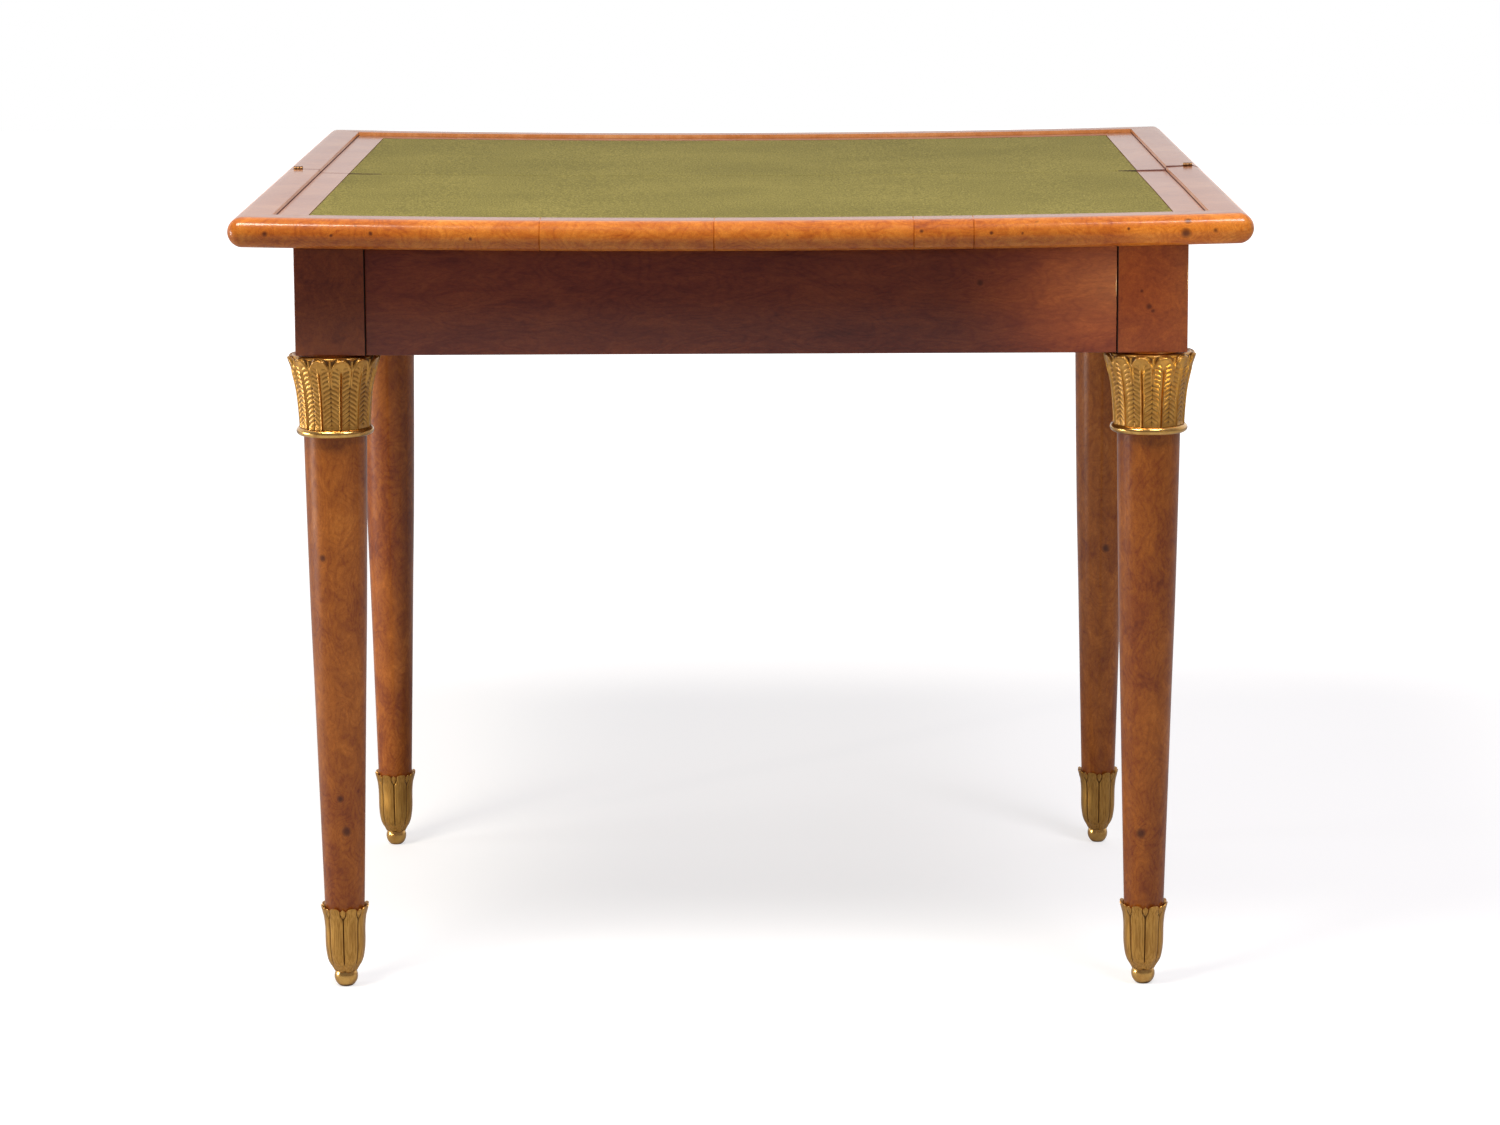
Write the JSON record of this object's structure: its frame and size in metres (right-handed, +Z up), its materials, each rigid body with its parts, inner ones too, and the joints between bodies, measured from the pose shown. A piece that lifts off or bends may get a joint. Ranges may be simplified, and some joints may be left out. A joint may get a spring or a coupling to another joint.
{
  "type": "games table",
  "caption": "Neoclassical games table with a fold-over baize-lined top, a concertina back frame, round tapering legs, leafy bronze capitals and sabots, and ball feet.",
  "frame": {"origin": "on the floor under the middle of the open top, where the fold line crosses the middle of the table", "axes": "+Z up; the front of the table faces -Y; the fold line runs along X"},
  "size_m": [0.936, 0.936, 0.7479],
  "materials": {
    "burr_veneer": "french polished burr veneer",
    "carcass_wood": "planed, unpolished",
    "green_baize": "napped wool cloth",
    "gilt_bronze": "chased and burnished gilding",
    "hinge_brass": "dull, aged"
  },
  "bodies": {
    "front_frame": {"front_leaf_core": "burr_veneer", "front_leaf_front_moulding": "burr_veneer", "front_leaf_left_moulding": "burr_veneer", "front_leaf_right_moulding": "burr_veneer", "front_leaf_baize": "green_baize", "leaf_hinge_front_plate_left": "hinge_brass", "leaf_hinge_front_plate_right": "hinge_brass", "front_apron": "burr_veneer", "side_rail_left": "burr_veneer", "side_rail_right": "burr_veneer", "cross_rail": "carcass_wood", "corner_brace_left": "carcass_wood", "corner_brace_right": "carcass_wood", "glue_block_left": "carcass_wood", "glue_block_right": "carcass_wood", "front_leg_left": "burr_veneer", "front_leg_right": "burr_veneer", "capital_left": "gilt_bronze", "capital_right": "gilt_bronze", "collar_left": "gilt_bronze", "collar_right": "gilt_bronze", "sabot_front_left": "gilt_bronze", "sabot_front_right": "gilt_bronze", "foot_ball_front_left": "gilt_bronze", "foot_ball_front_right": "gilt_bronze", "front_hinge_fixed_plate_left": "hinge_brass", "front_hinge_fixed_plate_right": "hinge_brass"},
    "back_leaf": {"back_leaf_core": "burr_veneer", "back_leaf_back_moulding": "burr_veneer", "back_leaf_left_moulding": "burr_veneer", "back_leaf_right_moulding": "burr_veneer", "back_leaf_baize": "green_baize", "leaf_hinge_back_plate_left": "hinge_brass", "leaf_hinge_back_plate_right": "hinge_brass"},
    "left_front_half": {"rail_front_half_left": "burr_veneer", "front_hinge_moving_plate_left": "hinge_brass", "middle_hinge_fixed_plate_left": "hinge_brass"},
    "left_back_half": {"rail_back_half_left": "burr_veneer", "middle_hinge_moving_plate_left": "hinge_brass", "back_hinge_fixed_plate_left": "hinge_brass"},
    "right_front_half": {"rail_front_half_right": "burr_veneer", "front_hinge_moving_plate_right": "hinge_brass", "middle_hinge_fixed_plate_right": "hinge_brass"},
    "right_back_half": {"rail_back_half_right": "burr_veneer", "middle_hinge_moving_plate_right": "hinge_brass", "back_hinge_fixed_plate_right": "hinge_brass"},
    "back_frame": {"back_apron": "burr_veneer", "back_leg_left": "burr_veneer", "back_leg_right": "burr_veneer", "corner_block_left": "carcass_wood", "corner_block_right": "carcass_wood", "sabot_back_left": "gilt_bronze", "sabot_back_right": "gilt_bronze", "foot_ball_back_left": "gilt_bronze", "foot_ball_back_right": "gilt_bronze", "back_hinge_moving_plate_left": "hinge_brass", "back_hinge_moving_plate_right": "hinge_brass"}
  },
  "joints": [
    {"name": "leaf_fold", "type": "hinge", "parent": "front_frame", "child": "back_leaf", "pos_m": [0, 0, 0.7454], "axis": [1, 0, 0], "range_deg": [0, 180]},
    {"name": "left_front_fold", "type": "hinge", "parent": "front_frame", "child": "left_front_half", "pos_m": [-0.3888, -0.164, 0.66135], "axis": [0, 0, -1], "range_deg": [0, 90]},
    {"name": "left_middle_fold", "type": "hinge", "parent": "left_front_half", "child": "left_back_half", "pos_m": [-0.4112, -0.0175, 0.66135], "axis": [0, 0, 1], "range_deg": [0, 180]},
    {"name": "left_back_fold", "type": "hinge", "parent": "left_back_half", "child": "back_frame", "pos_m": [-0.3888, 0.129, 0.66135], "axis": [0, 0, -1], "range_deg": [0, 90]},
    {"name": "right_front_fold", "type": "hinge", "parent": "front_frame", "child": "right_front_half", "pos_m": [0.3888, -0.164, 0.66135], "axis": [0, 0, 1], "range_deg": [0, 90]},
    {"name": "right_middle_fold", "type": "hinge", "parent": "right_front_half", "child": "right_back_half", "pos_m": [0.4112, -0.0175, 0.66135], "axis": [0, 0, -1], "range_deg": [0, 180]}
  ],
  "couplings": [
    {"joint": "left_middle_fold", "follows": "left_front_fold", "ratio": 2},
    {"joint": "left_back_fold", "follows": "left_front_fold", "ratio": 1},
    {"joint": "right_front_fold", "follows": "left_front_fold", "ratio": 1},
    {"joint": "right_middle_fold", "follows": "left_front_fold", "ratio": 2}
  ]
}
